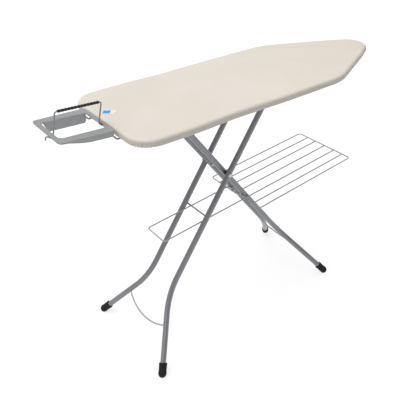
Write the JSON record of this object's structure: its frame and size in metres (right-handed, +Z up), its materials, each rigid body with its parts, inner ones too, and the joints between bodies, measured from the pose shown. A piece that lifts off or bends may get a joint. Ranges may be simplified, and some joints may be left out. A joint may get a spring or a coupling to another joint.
{
  "type": "ironing board",
  "caption": "Free-standing folding ironing board with crossed tube legs, fabric cover, steam unit holder with a swinging bail, and a wire linen rack.",
  "frame": {"origin": "on the floor, under the middle of the whole object's box", "axes": "+X along the board towards its nose, +Y towards the rear side, +Z up"},
  "size_m": [1.4529, 0.4764, 1.0798],
  "materials": {
    "leg_paint": "smooth metallic grey enamel",
    "wire_paint": "smooth grey enamel on wire",
    "holder_paint": "light grey enamel on pressed sheet",
    "board_paint": "pale grey enamel",
    "zinc": "zinc plated",
    "black_rubber": "matt moulded rubber",
    "black_sleeve": "spiral ribbed heat-proof sleeve",
    "black_nylon": "moulded nylon",
    "cover_cotton": "plain ecru cotton",
    "felt": "needle felt",
    "label_weave": "woven patch with a plain blue band"
  },
  "bodies": {
    "board": {"fabric_cover": "cover_cotton", "cover_label": "label_weave", "felt_pad": "felt", "mesh_top": "board_paint", "rim_frame": "board_paint", "heel_brace": "board_paint", "hinge_brace": "board_paint", "slide_brace_near": "board_paint", "slide_brace_far": "board_paint", "hinge_bracket_front": "board_paint", "hinge_bracket_rear": "board_paint", "slide_rail_front": "zinc", "slide_rail_rear": "zinc", "hinge_axle": "zinc", "holder_frame": "holder_paint", "holder_rod_front": "leg_paint", "holder_rod_rear": "leg_paint", "rod_saddles": "board_paint", "saddle_screws": "zinc", "bail_bushes": "black_nylon", "latch_bracket": "board_paint", "latch_pin": "zinc", "latch_spring": "zinc"},
    "bail": {"bail_wire": "leg_paint", "bail_sleeve": "black_sleeve"},
    "inner_legs": {"inner_leg_front": "leg_paint", "inner_leg_rear": "leg_paint", "inner_leg_lugs": "leg_paint", "inner_bow": "wire_paint", "inner_foot_cap_front": "black_rubber", "inner_foot_cap_rear": "black_rubber", "rack_hinge_strap": "zinc", "strap_rivets": "zinc"},
    "outer_legs": {"outer_leg_front": "leg_paint", "outer_leg_rear": "leg_paint", "outer_leg_lugs": "leg_paint", "outer_bow": "wire_paint", "outer_foot_cap_front": "black_rubber", "outer_foot_cap_rear": "black_rubber", "rack_hold_rod": "wire_paint", "slide_axle": "zinc", "slide_shoe_front": "black_nylon", "slide_shoe_rear": "black_nylon", "pivot_bolts": "zinc", "pivot_spacers": "black_nylon"},
    "rack": {"rack_frame_wire": "wire_paint", "rack_loop_wire": "wire_paint", "rack_middle_wires": "wire_paint"},
    "latch": {"latch_bar": "zinc", "latch_handle": "wire_paint", "latch_grip": "black_nylon"}
  },
  "joints": [
    {"name": "leg_fold", "type": "hinge", "parent": "board", "child": "inner_legs", "pos_m": [-0.27475, 0, 0.955], "axis": [0, -1, 0], "range_deg": [0, 48.5]},
    {"name": "cross_pivot", "type": "hinge", "parent": "inner_legs", "child": "outer_legs", "pos_m": [-0.07175, 0, 0.6423], "axis": [0, 1, 0], "range_deg": [0, 97]},
    {"name": "rack_fold", "type": "hinge", "parent": "inner_legs", "child": "rack", "pos_m": [0.01696, 0, 0.49044], "axis": [0, 1, 0], "range_deg": [0, 51.41]},
    {"name": "bail_swing", "type": "hinge", "parent": "board", "child": "bail", "pos_m": [-0.53602, -0.02, 0.98201], "axis": [-0.9982, 0, 0.0593], "range_deg": [0, 96]},
    {"name": "latch_release", "type": "hinge", "parent": "board", "child": "latch", "pos_m": [0.45745, 0, 0.9655], "axis": [0, -1, 0], "range_deg": [0, 1.8], "stiffness_Nm_per_rad": 12, "springref_deg": -3.44}
  ],
  "couplings": [
    {"joint": "cross_pivot", "follows": "leg_fold", "ratio": 2},
    {"joint": "rack_fold", "follows": "leg_fold", "ratio": 1.06}
  ]
}
